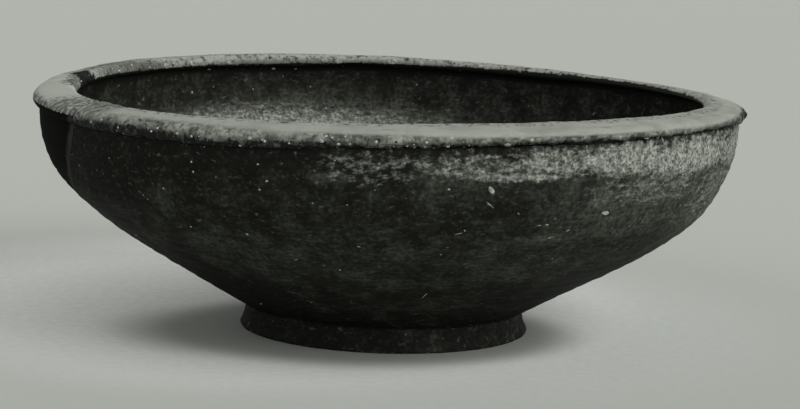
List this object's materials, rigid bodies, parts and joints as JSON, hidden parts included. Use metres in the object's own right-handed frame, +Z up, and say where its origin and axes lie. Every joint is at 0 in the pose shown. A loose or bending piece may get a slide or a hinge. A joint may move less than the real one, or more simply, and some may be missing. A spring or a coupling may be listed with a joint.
{
  "type": "terra sigillata bowl",
  "caption": "Deep slipped earthenware bowl on a low foot ring, with a heavy rolled rim and a section made up in plaster.",
  "frame": {"origin": "centre of the foot ring's standing face", "axes": "+Z up the bowl's axis, -Y towards the viewer of the picture, restored section at -X"},
  "size_m": [0.22, 0.22, 0.0756],
  "materials": {
    "slipped_clay": "satin fired slip, dark in the print, with pale lime deposit",
    "worn_clay": "slip worn off and limed over, matt",
    "plaster": "smoothed and toned plaster, matt",
    "bond": "dark glue and grout in the break, matt"
  },
  "bodies": {
    "root": {"foot_ring": "slipped_clay", "bowl_body": "slipped_clay", "rim_roll": "worn_clay", "plaster_fill": "plaster", "break_bond": "bond"}
  },
  "joints": []
}
